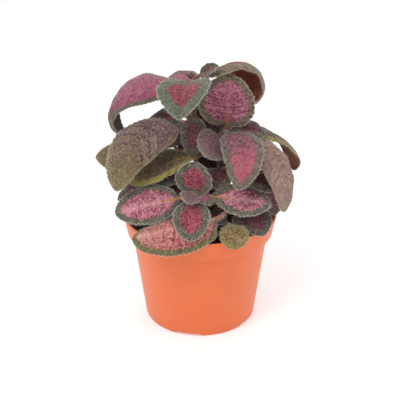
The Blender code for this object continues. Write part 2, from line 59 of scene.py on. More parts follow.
class Wire:
    # one output of a node; sums on it become Math nodes
    def __init__(self, tree, socket):
        self.tree = tree
        self.socket = socket

    def maths(self, operation, *others):
        node = self.tree.nodes.new("ShaderNodeMath")
        node.operation = operation
        for place, value in enumerate((self, *others)):
            plug(self.tree, node.inputs[place], value)
        return Wire(self.tree, node.outputs[0])

    def __add__(self, other):
        return self.maths("ADD", other)

    def __sub__(self, other):
        return self.maths("SUBTRACT", other)

    def __mul__(self, other):
        return self.maths("MULTIPLY", other)

    def __truediv__(self, other):
        return self.maths("DIVIDE", other)

    def __pow__(self, other):
        return self.maths("POWER", other)

    def __rsub__(self, other):
        return self * -1 + other

    def __abs__(self):
        return self.maths("ABSOLUTE")

    __radd__ = __add__
    __rmul__ = __mul__

    def fade(self, low, high):  # 0 at low and 1 at high, or the other way round, with soft ends
        node = self.tree.nodes.new("ShaderNodeMapRange")
        node.interpolation_type = "SMOOTHSTEP"
        turned = low > high
        for name, value in (("Value", self), ("From Min", min(low, high)), ("From Max", max(low, high)),
                            ("To Min", float(turned)), ("To Max", float(not turned))):
            plug(self.tree, node.inputs[name], value)
        return Wire(self.tree, node.outputs[0])


def plug(tree, socket, value):
    if isinstance(value, Wire):
        tree.links.new(value.socket, socket)
    else:
        socket.default_value = value


def named(sockets, name):  # a socket by its identifier, or else by its name or number
    found = [socket for socket in sockets if socket.identifier == name]
    return found[0] if found else sockets[name]


class Recipe:
    # makes the nodes of one tree
    def __init__(self, tree):
        self.tree = tree

    def node(self, kind, settings=None, sockets=None, output=0):
        node = self.tree.nodes.new(kind)
        for name, value in (settings or {}).items():
            setattr(node, name, value)
        for name, value in (sockets or {}).items():
            plug(self.tree, named(node.inputs, name), value)
        return Wire(self.tree, named(node.outputs, output))

    def shape(self, kind, sockets=None, output=0, **settings):  # a node of Geometry Nodes
        return self.node("GeometryNode" + kind, settings, sockets, output)

    def mix(self, factor, first, second, blending="MIX"):
        return self.node("ShaderNodeMix", {"data_type": "RGBA", "blend_type": blending},
                         {"Factor_Float": factor, "A_Color": first, "B_Color": second}, "Result_Color")

    def split(self, vector):
        node = self.tree.nodes.new("ShaderNodeSeparateXYZ")
        plug(self.tree, node.inputs[0], vector)
        return [Wire(self.tree, output) for output in node.outputs]

    def noise(self, vector, scale, detail=2.0, roughness=0.5):
        return self.node("ShaderNodeTexNoise", None,
                         {"Vector": vector, "Scale": scale, "Detail": detail, "Roughness": roughness}, "Fac")

    def cells(self, vector, scale, output, feature="F1"):
        return self.node("ShaderNodeTexVoronoi", {"feature": feature}, {"Vector": vector, "Scale": scale},
                         output)

    def bump(self, height, distance):
        return self.node("ShaderNodeBump", None, {"Height": height, "Distance": distance}, "Normal")

    def scaled(self, vector, by):
        return self.node("ShaderNodeVectorMath", {"operation": "SCALE"}, {"Vector": vector, "Scale": by},
                         "Vector")

    def random(self, low, high, seed):  # numbers, or vectors where the ends are vectors
        kind, tail = ("FLOAT_VECTOR", "") if isinstance(low, tuple) else ("FLOAT", "_001")
        return self.node("FunctionNodeRandomValue", {"data_type": kind},
                         {"Min" + tail: low, "Max" + tail: high, "Seed": seed}, "Value" + tail)


def newMaterial(name, fixed):  # fixed: values that are the same all over the surface
    material = bpy.data.materials.new(name)
    material.use_nodes = True
    shader = material.node_tree.nodes["Principled BSDF"]
    for socket, value in fixed.items():
        shader.inputs[socket].default_value = value
    return material, Recipe(material.node_tree), shader


def feed(recipe, shader, **wires):
    names = {"colour": "Base Color", "roughness": "Roughness", "normal": "Normal"}
    for name, wire in wires.items():
        recipe.tree.links.new(wire.socket, shader.inputs[names[name]])


def newTree(name, sizes):
    # a Geometry Nodes tree with a named input for each size, and one for the material
    tree = bpy.data.node_groups.new(name, "GeometryNodeTree")
    tree.interface.new_socket("Geometry", in_out="INPUT", socket_type="NodeSocketGeometry")
    tree.interface.new_socket("Geometry", in_out="OUTPUT", socket_type="NodeSocketGeometry")
    kinds = {int: "Int", float: "Float", tuple: "Vector"}
    for label, size in sizes.items():
        tree.interface.new_socket(label, in_out="INPUT", socket_type="NodeSocket" + kinds[type(size)])
    tree.interface.new_socket("Material", in_out="INPUT", socket_type="NodeSocketMaterial")
    entry = tree.nodes.new("NodeGroupInput")
    return Recipe(tree), {socket.name: Wire(tree, socket) for socket in entry.outputs if socket.name}


def endTree(recipe, shape, material):
    # instances become real, and the whole takes its material
    shape = recipe.shape("RealizeInstances", {"Geometry": shape})
    shape = recipe.shape("SetMaterial", {"Geometry": shape, "Material": material})
    plug(recipe.tree, recipe.tree.nodes.new("NodeGroupOutput").inputs[0], shape)
    return recipe.tree


def addObject(name, data):
    thing = bpy.data.objects.new(name, data)
    bpy.context.scene.collection.objects.link(thing)
    return thing


def newPiece(name, mesh, material=None):
    piece = addObject(name, mesh)
    if material:
        mesh.materials.append(material)
    return piece


def grown(name, start, tree, values):
    # runs a tree on a mesh with a value for each of its inputs, and keeps the result as a plain mesh
    carrier = addObject(name + "_start", start)
    modifier = carrier.modifiers.new("grow", "NODES")
    modifier.node_group = tree
    for item in tree.interface.items_tree:
        if item.in_out == "INPUT" and item.socket_type != "NodeSocketGeometry":
            modifier[item.identifier] = values[item.name]
    graph = bpy.context.evaluated_depsgraph_get()
    mesh = bpy.data.meshes.new_from_object(carrier.evaluated_get(graph), preserve_all_data_layers=True,
                                           depsgraph=graph)
    bpy.data.objects.remove(carrier)
    mesh.name = name
    return newPiece(name, mesh)


def newMesh(name, points, faces):
    mesh = bpy.data.meshes.new(name)
    mesh.from_pydata((np.asarray(points) * mm).tolist(), [], [list(map(int, face)) for face in faces])
    mesh.shade_smooth()
    return mesh


def newLine(name, points):  # a row of joined points, which a tree turns into a curve
    mesh = bpy.data.meshes.new(name)
    mesh.from_pydata((np.asarray(points) * mm).tolist(), [(k, k + 1) for k in range(len(points) - 1)], [])
    return mesh


def addLayer(mesh, name, domain, values):  # a number or a vector for each point or face
    values = np.array(values, float)
    kind, field = ("FLOAT", "value") if values.ndim == 1 else ("FLOAT_VECTOR", "vector")
    mesh.attributes.new(name, kind, domain).data.foreach_set(field, values.ravel())


def ringFaces(rows, around):  # quads between closed rings of points
    i = np.arange(around)
    j = (i + 1) % around
    return np.concatenate([np.stack([k * around + i, k * around + j, (k + 1) * around + j,
                                     (k + 1) * around + i], 1) for k in range(rows - 1)])


# light, dark: granules and net of the middle patch. margin, speck: the hairy band round it. rib: at its
# base and tip. border: width of the band in mm. net, stripe, veins: how much these show. glint: how much
# the painted highlight on the granules shows. tip: colour that takes over towards the leaf's tip, and
# where it starts and ends.
lookDefaults = {"stripe": 0.0, "tip": ((112, 96, 78), 1.0, 1.2)}
leafLooks = {
    "pink": dict(
        light=(238, 152, 170), dark=(136, 50, 80), margin=(92, 92, 72), speck=(164, 156, 140),
        rib=((200, 132, 44), (238, 172, 178)), edge=(206, 198, 184), under=(84, 38, 34),
        stalk=(206, 146, 60), border=4.0, net=0.4, paintedGlint=0.9, veins=0.35, stripe=0.6),
    "crimson": dict(
        light=(206, 88, 112), dark=(98, 22, 44), margin=(86, 86, 68), speck=(160, 152, 136),
        rib=((150, 90, 60), (196, 84, 104)), edge=(210, 200, 186), under=(74, 32, 28),
        stalk=(140, 96, 66), border=4.9, net=0.4, paintedGlint=0.5, veins=0.3),
    "jade": dict(
        light=(178, 74, 92), dark=(112, 36, 56), margin=(86, 98, 76), speck=(148, 152, 132),
        rib=((150, 84, 70), (180, 84, 100)), edge=(196, 196, 180), under=(66, 40, 34),
        stalk=(128, 92, 66), border=7.4, net=0.25, paintedGlint=0.4, veins=0.4),
    "rose": dict(
        light=(178, 94, 120), dark=(142, 68, 94), margin=(106, 98, 80), speck=(146, 136, 116),
        rib=((150, 96, 84), (180, 104, 124)), edge=(170, 160, 136), under=(70, 38, 30),
        stalk=(136, 92, 66), border=2.8, net=0.12, paintedGlint=0.18, veins=0.45,
        tip=((104, 86, 68), 0.55, 0.75)),
    "mauve": dict(
        light=(212, 126, 150), dark=(114, 46, 68), margin=(104, 92, 70), speck=(158, 144, 124),
        rib=((168, 112, 40), (196, 124, 142)), edge=(196, 184, 164), under=(104, 50, 38),
        stalk=(136, 88, 60), border=4.4, net=0.4, paintedGlint=0.5, veins=0.75, stripe=0.4),
    "rust": dict(
        light=(156, 98, 84), dark=(118, 70, 60), margin=(126, 110, 80), speck=(152, 138, 110),
        # the underside's reddish brown is its own colour, made lighter as painted light shining through the
        # leaf
        rib=((150, 104, 60), (150, 100, 80)), edge=(180, 168, 136), under=(205, 112, 78),
        stalk=(136, 88, 60), border=6.0, net=0.25, paintedGlint=0.2, veins=0.5, tip=((124, 96, 72), 0.6, 0.9)),
    "heart": dict(
        light=(178, 108, 122), dark=(104, 58, 68), margin=(102, 94, 78), speck=(162, 150, 136),
        rib=((116, 72, 66), (176, 104, 116)), edge=(208, 196, 182), under=(84, 44, 38),
        stalk=(128, 84, 62), border=4.4, net=0.35, paintedGlint=0.45, veins=0.7, stripe=0.15,
        tip=((206, 104, 124), 0.35, 0.65)),
    "dusk": dict(
        light=(150, 106, 114), dark=(108, 74, 82), margin=(134, 108, 106), speck=(154, 132, 126),
        rib=((116, 80, 76), (138, 104, 108)), edge=(182, 168, 154), under=(76, 42, 36),
        stalk=(118, 80, 64), border=2.4, net=0.15, paintedGlint=0.1, veins=0.7,
        tip=((128, 100, 100), 0.6, 0.95)),
    "bronze": dict(
        light=(156, 78, 94), dark=(66, 26, 36), margin=(80, 74, 58), speck=(132, 122, 106),
        rib=((112, 70, 50), (132, 76, 80)), edge=(160, 150, 132), under=(64, 34, 26), stalk=(108, 70, 50),
        border=5.0, net=0.35, paintedGlint=0.35, veins=0.8, tip=((96, 84, 66), 1.0, 1.2)),
    "plum": dict(
        light=(162, 128, 120), dark=(80, 44, 54), margin=(138, 122, 74), speck=(172, 156, 122),
        rib=((138, 104, 84), (138, 118, 76)), edge=(200, 186, 114), under=(84, 52, 34),
        stalk=(126, 92, 64), border=1.4, net=0.25, paintedGlint=0.6, veins=0.95,
        tip=((132, 120, 66), 0.25, 0.95)),
    "olive": dict(
        light=(116, 94, 46), dark=(60, 42, 20), margin=(160, 148, 58), speck=(166, 152, 78),
        rib=((156, 138, 54), (124, 104, 50)), edge=(182, 170, 80), under=(92, 60, 32),
        stalk=(146, 132, 50), border=3.6, net=0.3, paintedGlint=0.2, veins=0.7, tip=((132, 114, 50), 0.5, 1.0)),
    "tan": dict(
        light=(176, 148, 98), dark=(96, 76, 36), margin=(142, 132, 54), speck=(162, 150, 84),
        rib=((150, 128, 70), (150, 124, 82)), edge=(172, 162, 92), under=(92, 60, 32),
        stalk=(146, 132, 50), border=2.6, net=0.25, paintedGlint=0.15, veins=0.6,
        tip=((140, 124, 60), 0.7, 1.0)),
    "salmon": dict(
        light=(236, 154, 144), dark=(150, 56, 66), margin=(106, 102, 54), speck=(158, 144, 98),
        rib=((240, 196, 176), (232, 166, 152)), edge=(176, 158, 112), under=(116, 66, 48),
        stalk=(176, 116, 70), border=4.0, net=0.35, paintedGlint=1.0, veins=0.8, stripe=0.7,
        tip=((214, 150, 136), 0.5, 1.0)),
    "fawn": dict(
        light=(184, 148, 134), dark=(130, 94, 86), margin=(146, 120, 104), speck=(172, 150, 132),
        rib=((146, 120, 100), (150, 126, 106)), edge=(186, 168, 142), under=(110, 72, 54),
        stalk=(136, 106, 76), border=2.2, net=0.2, paintedGlint=0.1, veins=0.7, tip=((150, 130, 114), 0.7, 1.0)),
    "moss": dict(
        light=(120, 92, 50), dark=(94, 66, 38), margin=(146, 138, 58), speck=(164, 154, 86),
        rib=((158, 138, 60), (150, 126, 54)), edge=(184, 176, 94), under=(160, 88, 34),
        stalk=(126, 100, 52), border=4.0, net=0.3, paintedGlint=0.15, veins=0.6, tip=((134, 120, 54), 0.5, 1.0)),
}
# paintedGlintColour is the colour of the painted highlights on the granules
leafSkin = {"cellScale": 0.95, "grainScale": 1.5, "patchScale": 0.3, "slowScale": 0.12, "veinPairs": 8,
            "veinLean": 0.17, "veinCurve": 1.35, "bump": 0.0005, "ribWidth": 1.1, "stripeWidth": 4.5,
            "borderBlur": 0.8, "borderBlotch": 3.5, "borderGrain": 4.0, "fullBorder": 27, "narrowing": 0.7,
            "patternStep": 31.7, "roughness": 0.6,
            "paintedGlintColour": paint(248, 206, 208), "netShade": (0.3, 0.16, 0.2, 1),
            "veinShade": (0.36, 0.22, 0.3, 1), "underShade": (0.02, 0.008, 0.006, 1)}
leafGloss = {"Sheen Weight": 0.18, "Sheen Roughness": 0.4, "Sheen Tint": (1.0, 0.93, 0.9, 1.0),
             "Specular IOR Level": 0.4}


def leafMaterial(name, look):
    material, recipe, shader = newMaterial(name, leafGloss)
    skin = leafSkin
    tint = {key: paint(*look[key]) for key in ("light", "dark", "margin", "speck", "edge", "under", "stalk")}
    place, flat, inset = [
        recipe.node("ShaderNodeAttribute", {"attribute_name": label}, None, output)
        for label, output in (("leafPlace", "Vector"), ("leafFlat", "Vector"), ("leafInset", "Fac"))]
    side, along, face = recipe.split(place)
    across = abs(side)
    offRib = abs(recipe.split(flat)[0])

    slow = recipe.noise(flat, skin["slowScale"])
    blotch = recipe.noise(flat, skin["patchScale"])
    grain = recipe.noise(flat, skin["grainScale"], 3, 0.6)
    net = recipe.cells(flat, skin["cellScale"], "Distance", "DISTANCE_TO_EDGE").fade(0.2, 0.03)
    dome = recipe.cells(flat, skin["cellScale"], "Distance").fade(0.55, 0.05)
    chance = recipe.split(recipe.cells(flat, skin["cellScale"], "Color"))[0]

    def darker(factor, colour, shade):
        return recipe.mix(factor, colour, recipe.mix(1.0, colour, shade, "MULTIPLY"))

    def mottled(colour, other):
        return recipe.mix(grain.fade(0.3, 0.7), recipe.mix(0.4, colour, other), colour)

    # side veins that come and go, and a middle rib that thins towards the tip
    fromRib = along - (across + 0.001) ** skin["veinCurve"] * skin["veinLean"]
    phase = fromRib * skin["veinPairs"] + (grain - 0.5) * 0.25 + (blotch - 0.5) * 0.45
    shown = slow.fade(0.3, 0.5) * along.fade(0.9, 0.45)
    vein = abs(phase.maths("FRACT") - 0.5).fade(0.35, 0.48) * shown
    ribWidth = skin["ribWidth"]
    rib = (offRib / (1.1 - along)).fade(ribWidth, ribWidth * 0.4) * (along.fade(0.65, 0.2) * 0.5 + 0.5)

    # the middle patch follows the leaf's outline, with a ragged border
    border = inset + (blotch - 0.5) * skin["borderBlotch"] + (grain - 0.5) * skin["borderGrain"]
    patch = border.fade(look["border"] - skin["borderBlur"], look["border"] + skin["borderBlur"])
    lit = (chance * 0.6 + grain * 0.6 + slow * 0.6 - 0.4).fade(0.1, 0.85)
    margin = recipe.mix((grain * 0.7 + chance * 0.3).fade(0.42, 0.78), tint["margin"], tint["speck"])
    tip, tipStart, tipEnd = look["tip"]
    tipped = recipe.mix(lit, recipe.mix(0.5, paint(*tip), tint["dark"]), paint(*tip))
    middle = recipe.mix((along + (blotch - 0.5) * 0.5).fade(tipStart, tipEnd),
                        recipe.mix(lit, tint["dark"], tint["light"]), tipped)
    top = darker(net * look["net"], recipe.mix(patch, margin, middle), skin["netShade"])
    ribBase, ribTip = (paint(*colour) for colour in look["rib"])
    streaks = (grain * 0.6 + blotch * 0.8).fade(0.5, 0.8)
    top = recipe.mix(offRib.fade(skin["stripeWidth"], 0.5) * patch * streaks * look["stripe"], top, ribTip)
    # painted highlight: pale glints painted on the tops of the granules in the middle patch
    paintedHighlight = dome * chance.fade(0.45, 0.8) * slow.fade(0.3, 0.6) * (patch * 0.8 + 0.2) * look["paintedGlint"]
    top = recipe.mix(paintedHighlight, top, skin["paintedGlintColour"])
    top = darker(vein * look["veins"], top, skin["veinShade"])
    top = recipe.mix(rib * 0.85, top, recipe.mix(along.fade(0.15, 0.5), ribBase, ribTip))
    top = recipe.mix(inset.fade(0.8, 0.1) * 0.6, top, tint["edge"])

    raised = (vein + rib).maths("MINIMUM", 1.0)
    below = recipe.mix(raised * 0.35, mottled(tint["under"], skin["underShade"]), tint["stalk"])
    colour = recipe.mix(face.fade(-0.2, 0.2), below, top)
    colour = recipe.mix(along.fade(0.03, -0.02), colour, mottled(tint["stalk"], tint["dark"]))
    height = dome * 0.9 - net * 0.4 + grain * 0.3 - vein * 0.6
    feed(recipe, shader, colour=colour, normal=recipe.bump(height, skin["bump"]),
         roughness=skin["roughness"] - paintedHighlight * 0.25 + (grain - 0.5) * 0.25)
    return material


leafMaterials = {name: leafMaterial("leaf_" + name, {**lookDefaults, **look})
                 for name, look in leafLooks.items()}


def plainMaterial(name, colours, rough, scale, bump, fixed=None):
    # a mottled finish: two colours by noise on the piece's own coordinates, in metres
    material, recipe, shader = newMaterial(name, fixed or {})
    spot = recipe.node("ShaderNodeTexCoord", None, None, "Object")
    mottle = recipe.noise(spot, scale, 4, 0.6)
    grain = recipe.noise(spot, scale * 6, 3, 0.6)
    colour = recipe.mix((mottle * 0.6 + grain * 0.4).fade(0.35, 0.65), paint(*colours[0]), paint(*colours[1]))
    feed(recipe, shader, colour=colour, roughness=(mottle - 0.5) * 0.2 + rough,
         normal=recipe.bump(grain + mottle, bump))
    return material


stemFinish = plainMaterial("stem_skin", ((74, 44, 34), (140, 96, 66)), 0.6, 420, 0.0003,
                           {"Sheen Weight": 0.3, "Sheen Roughness": 0.5})
soilFinish = plainMaterial("peat", ((14, 8, 5), (48, 30, 20)), 0.92, 260, 0.0009)
crumbFinish = plainMaterial("peat_crumb", ((18, 10, 6), (74, 48, 30)), 0.9, 330, 0.0005)
hairFinish = newMaterial("leaf_hair", {
    "Base Color": paint(222, 212, 200), "Roughness": 0.6, "Specular IOR Level": 0.3})[0]
print("finishes made")


# each stem's corners, from the soil to its tip
stemPaths = {
    "main": [(0, 8, 76), (-3, 6, 120), (-4, 1, 160), (-5, -2, 191)],
    "right": [(12, 2, 76), (15, 1, 115), (16, -3, 138), (17, -8, 157)],
    "front": [(-3, -16, 76), (-5, -24, 96), (-5, -31, 113)],
    "left": [(-14, 4, 76), (-16, 3, 105), (-14, 0, 132)],
    "back": [(6, 24, 76), (9, 30, 105), (8, 36, 136)],
}
stemForm = {"foot": 66.0, "jointRadius": 2.8, "taper": 0.7, "swell": 0.5, "swellLength": 2.0, "step": 1.0,
            "tipLength": 1.6, "leafGap": 0.3}
stemSkin = {"Sides": 20, "Bumps": 0.0002, "Bump Scale": 900.0}

# at: share of the stem. yaw: heading, 0 along +X and 90 along +Y. stalk: length and rise.
# blade: length and width. pitch, roll: at the blade's base and tip. sway, turn: change of heading
# along the blade and the stalk. bend: how late the pitch changes. fold: V fold. cup: curl of each half.
# shape: widest place and bluntness. uneven: how much wider the left half is.
leafDefaults = {"roll": (0, 0), "sway": 0, "turn": 0, "bend": 1, "fold": 12, "cup": (-25, -25),
                "shape": (0.9, 0.62), "uneven": 0}


def leaf(stem, at, yaw, stalk, blade, pitch, look, **more):
    return {**leafDefaults, "stem": stem, "at": at, "yaw": yaw, "stalk": stalk, "blade": blade,
            "pitch": pitch, "look": look, **more}


leaves = {
    "leaf_crown_left": leaf("main", .955, 184, (11, 5), (79, 39), (-3, -170), "rose", roll=(-30, -20),
        sway=-40, bend=2.8, fold=4, cup=(-80, -28), shape=(1, .4), uneven=-.4),
    "leaf_crown_front": leaf("main", .985, 256, (6, 40), (38, 41), (0, -65), "jade", roll=(6, 10),
        fold=24, cup=(-20, -20), shape=(.75, .7)),
    "leaf_crown_back": leaf("main", .965, 112, (3, 15), (28, 24), (12, 0), "rose", roll=(0, -10)),
    "leaf_crown_tip": leaf("main", 1, 342, (4, 52), (16, 19), (35, 20), "bronze", roll=(45, 20), fold=15,
        cup=(0, 0), uneven=-.35),
    "leaf_crown_right": leaf("main", .965, 25, (11, 28), (65, 42), (34, -150), "rust", roll=(-24, -34),
        sway=-36, bend=1.5, cup=(-60, -70), shape=(.9, .45), uneven=-.12),
    "leaf_left_large": leaf("main", .65, 212, (12, 22), (73, 40), (12, -72), "plum", roll=(-34, -8),
        sway=20, cup=(-75, -50), shape=(.85, .55), uneven=-.3),
    "leaf_middle_front": leaf("main", .81, 255, (3, -20), (30, 21.5), (-62, -88), "bronze", roll=(8, 5),
        uneven=.25),
    "leaf_middle_upper": leaf("main", .748, 20, (3, 10), (31, 33), (5, -20), "bronze", roll=(60, 50),
        shape=(.5, .4)),
    "leaf_middle_back": leaf("main", .785, 156, (6, -8), (30, 23), (-16, -12), "bronze", roll=(-36, -30),
        shape=(.5, .4), uneven=-.2),
    "leaf_right_upright": leaf("right", 1, 76, (2.5, 0), (39, 45), (90, 82), "mauve", turn=60, fold=14,
        cup=(10, 10), shape=(.88, .5)),
    "leaf_right_front": leaf("right", .97, 290, (5, 14), (53, 31), (8, -86), "heart", roll=(2, 0),
        sway=-24, fold=8, cup=(-20, -60), shape=(.75, .5), uneven=.35),
    "leaf_right_inner": leaf("right", .945, 246.5, (3, 12), (24, 27.5), (-14, -36), "dusk",
        roll=(-45, -30), fold=6, cup=(-20, -20), shape=(.8, .5)),
    "leaf_right_upper": leaf("right", .92, 355, (5, 45), (27, 22), (18, -36), "bronze", roll=(30, 15)),
    "leaf_right_hanging": leaf("right", .68, 332, (20, 52), (73, 30), (28, -105), "fawn", roll=(15, 5),
        sway=-6, bend=.65, shape=(.9, .5), uneven=-.3),
    "leaf_right_far": leaf("right", .76, 24, (20, 54), (64, 42), (11, -85), "moss", bend=.85,
        cup=(-25, -35), shape=(.9, .5), uneven=-.35),
    "leaf_right_shaded": leaf("right", .6, 316, (14, 28), (36, 32), (0, -40), "bronze"),
    "leaf_middle_right": leaf("right", .54, 266, (4, 40), (27, 27), (20, -50), "bronze"),
    "leaf_right_low": leaf("right", .5, 345, (16, 16), (43, 27), (-4, -92), "bronze", roll=(15, 20),
        sway=-25, shape=(1, .5)),
    "leaf_front_left": leaf("front", .95, 194, (8, 8), (48, 32), (-3, -14), "pink", roll=(-42, -38),
        fold=5, cup=(-6, -10), shape=(.95, .5)),
    "leaf_front_right": leaf("front", .95, 350, (11, 18), (44, 29), (0, -10), "pink", roll=(38, 30),
        fold=8, cup=(-10, -10), shape=(1.2, .6)),
    "leaf_front_low": leaf("front", .98, 267, (3, 10), (35, 27), (-18, -48), "crimson", fold=6,
        cup=(-10, -10), shape=(.95, .48)),
    "leaf_front_up": leaf("front", .95, 70, (2, 0), (26, 30), (86, 92), "crimson", fold=8, cup=(15, 15),
        shape=(.95, .45)),
    "leaf_front_young": leaf("front", 1, 262, (3, 44), (13, 15), (15, -50), "dusk", roll=(-20, -20)),
    "leaf_front_small": leaf("front", 1, 318, (3, 24), (13, 12), (4, -36), "rose", roll=(10, 5)),
    "leaf_rim_left": leaf("right", .14, 203, (52, 32), (63, 39), (-2, -18), "salmon", roll=(-22, -38),
        sway=-25, turn=-91, fold=0, cup=(-50, -64), shape=(.85, .42), uneven=.05),
    "leaf_rim_olive": leaf("right", .07, 282, (46, 14), (23, 22), (20, -95), "tan", shape=(1.2, .5)),
    "leaf_rim_right": leaf("right", .24, 306, (25, 10), (32, 31), (2, -45), "bronze", roll=(10, 10)),
    "leaf_rim_small": leaf("front", .5, 322, (8, 28), (18, 24), (8, -30), "bronze"),
    "leaf_left_olive": leaf("right", .73, 198, (14, 8), (57, 33), (0, -36), "olive", roll=(-10, -25),
        shape=(1.25, .6), uneven=-.2),
    "leaf_left_far": leaf("left", .85, 174, (10, 25), (55, 37), (16, -14), "plum", roll=(-42, -35),
        uneven=.1),
    "leaf_left_low": leaf("left", .55, 203, (12, 20), (38, 32), (14, -40), "bronze"),
    "leaf_middle_shaded": leaf("main", .36, 285, (6, 10), (30, 26), (-5, -40), "bronze"),
    "leaf_middle_left": leaf("main", .38, 226, (12, 14), (25, 23), (4, -32), "bronze"),
    "leaf_middle_low": leaf("left", .64, 262, (4, 5), (22, 22), (2, -30), "bronze", uneven=.2),
    "leaf_crown_back_right": leaf("main", .9, 52, (10, 25), (46, 34), (10, -70), "crimson"),
    "leaf_back_upper": leaf("main", .84, 91, (7, 24), (36, 32), (-12, -80), "mauve"),
    "leaf_back_left_middle": leaf("left", .92, 114, (12, 40), (42, 32), (30, -50), "pink",
        roll=(-25, -25)),
    "leaf_back_top": leaf("main", .55, 94, (12, 33), (58, 40), (19, -60), "rose"),
    "leaf_back_right_top": leaf("back", 1, 40, (8, 35), (44, 34), (25, -45), "pink"),
    "leaf_back_inner": leaf("back", .5, 250, (3, 60), (34, 36), (78, 62), "bronze", shape=(.88, .5)),
    "leaf_back_right": leaf("back", .75, 14, (12, 30), (52, 36), (15, -60), "plum"),
    "leaf_back_left": leaf("back", .75, 150, (14, 30), (52, 38), (15, -60), "crimson"),
    "leaf_back_low": leaf("back", .4, 96, (13, 20), (50, 40), (5, -75), "salmon"),
    "leaf_back_left_low": leaf("left", .53, 148, (12, 25), (46, 38), (16, -55), "plum", roll=(-15, -10)),
    "leaf_back_right_low": leaf("back", .35, 38, (16, 20), (50, 38), (5, -65), "olive"),
}
bladeForm = {"pathSteps": 64, "columns": 22, "smallColumns": 12, "smallWidth": 20, "rowsPerTooth": 4,
             "toothPitch": 2.7, "toothDepth": 1.0, "thickness": 0.55, "edgeShare": 0.5, "ribDepth": 0.7,
             "ribSpread": 1.1, "veinDepth": 0.5, "pebble": 0.16, "edgeWave": 0.5, "stalkRadius": 1.25,
             "stalkStep": 1.2, "stalkFlare": 0.35, "joinShare": 0.06, "intoStem": 1.6, "leastHalf": 0.3,
             "fullLength": 40, "fullWidth": 30, "slimming": 0.45, "teeth": (8, 32), "columnSpread": 1.15,
             "joinWidth": 1.15}
# how thick the hairs stand on each part, and how wide the hairy band is
hairRates = {"top": 0.25, "band": 0.9, "under": 0.25, "rim": 12.0, "stalk": 1.6, "bandWidth": 5.0}
tipLeaves = {"main": [(200, 8), (110, 7)], "right": [(235, 6)], "left": [(100, 9)],
             "back": [(270, 8), (120, 7)]}
tipForm = {"stalk": 2.5, "pitch": (62, 35), "width": 0.7, "fold": 25, "sink": 0.4, "step": 1.1,
           "firstSeed": 50}


def smoothPath(corners, steps=12):
    ends = [np.array(corner, float) for corner in corners]
    ends = [2 * ends[0] - ends[1]] + ends + [2 * ends[-1] - ends[-2]]
    curve = []
    for a, b, c, d in zip(ends, ends[1:], ends[2:], ends[3:]):
        for k in range(steps):
            t = k / steps
            bent = (2 * a - 5 * b + 4 * c - d) * t ** 2 + (3 * b - a - 3 * c + d) * t ** 3
            curve.append((2 * b + (c - a) * t + bent) / 2)
    curve.append(ends[-2])
    return np.array(curve)


def distances(path):
    return np.concatenate([[0], np.cumsum(np.linalg.norm(np.diff(path, axis=0), axis=1))])


def pointsAt(path, marks, where):
    return np.stack([np.interp(where, marks, path[:, k]) for k in range(3)], -1)


def onStem(path, share):
    marks = distances(path)
    s = share * marks[-1]
    way = pointsAt(path, marks, s + 2) - pointsAt(path, marks, s - 2)
    return pointsAt(path, marks, s), way / np.linalg.norm(way)


def jointRadius(share):
    return stemForm["jointRadius"] - stemForm["taper"] * share


def leafWays(yaw, pitch, roll):  # forward, left and up along a leaf
    y, p, r = np.radians(yaw), np.radians(pitch), np.radians(roll)
    forward = np.stack([np.cos(p) * np.cos(y), np.cos(p) * np.sin(y), np.sin(p)], -1)
    left = np.stack([-np.sin(y), np.cos(y), 0 * y], -1)
    up = np.stack([-np.sin(p) * np.cos(y), -np.sin(p) * np.sin(y), np.cos(p)], -1)
    c, s = np.cos(r)[..., None], np.sin(r)[..., None]
    return forward, c * left + s * up, c * up - s * left


def softStep(low, high, x):
    t = np.clip((x - low) / (high - low), 0, 1)
    return t * t * (3 - 2 * t)


def between(pair, share):
    return pair[0] + (pair[1] - pair[0]) * share


def runOn(start, ways, stepLength):  # a line of points from a start, one step along each way
    return start + np.concatenate([[np.zeros(3)], np.cumsum(ways, 0)]) * stepLength


def bothSides(row):  # the top's columns, then the underside's in reverse
    return np.concatenate([row, row[:, ::-1]], 1)


